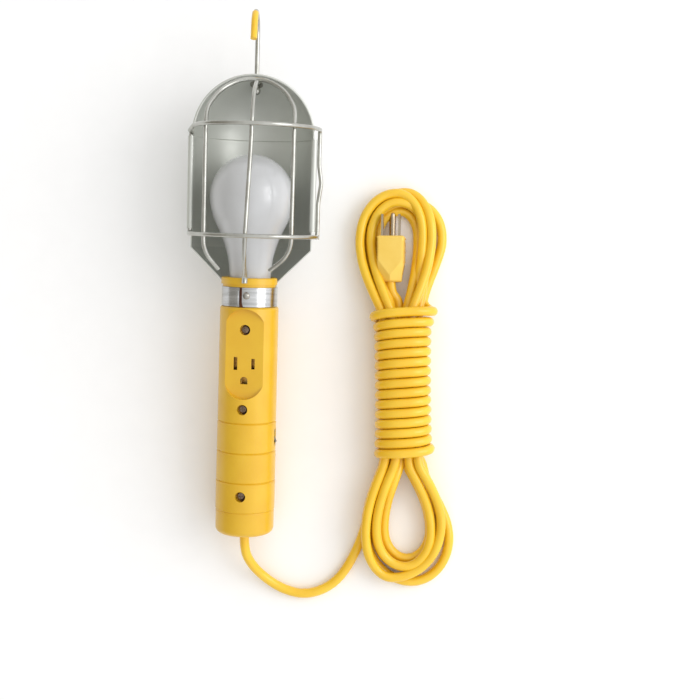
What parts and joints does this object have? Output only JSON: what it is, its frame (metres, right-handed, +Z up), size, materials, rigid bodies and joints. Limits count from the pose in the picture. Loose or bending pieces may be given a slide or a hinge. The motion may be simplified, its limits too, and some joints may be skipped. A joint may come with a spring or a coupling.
{
  "type": "work light",
  "caption": "Corded work light: moulded handle with an outlet and rocker switch, half-round reflector, hinged wire guard, bulb, swivel hook, and a wrapped cord with a grounded plug.",
  "frame": {"origin": "centre of the bottom of the light's box on the table it lies on, the free cord left out", "axes": "+Z up, +Y along the light from the butt to the hook, +X to the user's right with the open front up"},
  "size_m": [0.2027, 0.427, 0.0997],
  "materials": {
    "handle_plastic": "fine moulded texture",
    "reflector_steel": "dull zinc finish",
    "wire_steel": "bright plated",
    "band_steel": "bright brushed",
    "screw_steel": "plated",
    "switch_black": "moulded",
    "phenolic": "dark brown moulding",
    "brass": "plain",
    "cap_aluminium": "bright",
    "black_glass": "glossy",
    "frosted_glass": "frosted",
    "clear_glass": "clear",
    "tungsten": "fine wire",
    "hook_vinyl": "dipped vinyl",
    "cord_vinyl": "smooth flexible jacket",
    "plug_vinyl": "moulded",
    "wire_white": "insulation",
    "wire_black": "insulation",
    "wire_green": "insulation",
    "blade_brass": "bright nickelled"
  },
  "bodies": {
    "lamp": {"handle_front": "handle_plastic", "handle_back": "handle_plastic", "handle_screws": "screw_steel", "outlet_carrier": "phenolic", "contact_hot": "brass", "contact_neutral": "brass", "contact_ground": "brass", "socket_body": "phenolic", "socket_shell": "brass", "socket_contact": "brass", "switch_body": "handle_plastic", "cord_grommet": "cord_vinyl", "cord_inner_end": "cord_vinyl", "cord_clamp": "phenolic", "cord_clamp_screws": "screw_steel", "wire_neutral": "wire_white", "wire_hot": "wire_black", "wire_switched": "wire_black", "wire_ground": "wire_green", "reflector": "reflector_steel", "clamp_band": "band_steel", "clamp_screw": "screw_steel", "hook_washer": "screw_steel", "hook_backing_washer": "screw_steel", "cord_tail": "cord_vinyl", "cord_hank": "cord_vinyl", "cord_plug_lead": "cord_vinyl", "plug_body": "plug_vinyl", "plug_blades": "blade_brass", "plug_ground_pin": "blade_brass"},
    "guard_door": {"guard_frame": "wire_steel", "guard_u_rib": "wire_steel", "guard_center_rib": "wire_steel"},
    "hook_arm": {"hook": "wire_steel", "hook_sleeve": "hook_vinyl"},
    "rocker": {"switch_rocker": "switch_black"},
    "bulb": {"bulb_glass": "frosted_glass", "bulb_base": "cap_aluminium", "bulb_insulator": "black_glass", "bulb_tip_contact": "brass", "bulb_stem": "clear_glass", "bulb_filament": "tungsten"}
  },
  "joints": [
    {"name": "guard_hinge", "type": "hinge", "parent": "lamp", "child": "guard_door", "pos_m": [-0.04645, 0.06545, 0.04823], "axis": [0, -0.9942, -0.1079], "range_deg": [0, 135]},
    {"name": "hook_swivel", "type": "hinge", "parent": "lamp", "child": "hook_arm", "pos_m": [-0.00215, 0.14096, 0.03833], "axis": [0, 0.9942, 0.1079], "continuous": true},
    {"name": "switch_rock", "type": "hinge", "parent": "lamp", "child": "rocker", "pos_m": [0.01439, -0.11564, 0.03003], "axis": [0.0872, 0.1075, -0.9904], "range_deg": [0, 16]},
    {"name": "bulb_unscrew", "type": "slide", "parent": "lamp", "child": "bulb", "axis": [0, 0.9942, 0.1079], "range_m": [0, 0.024]}
  ]
}
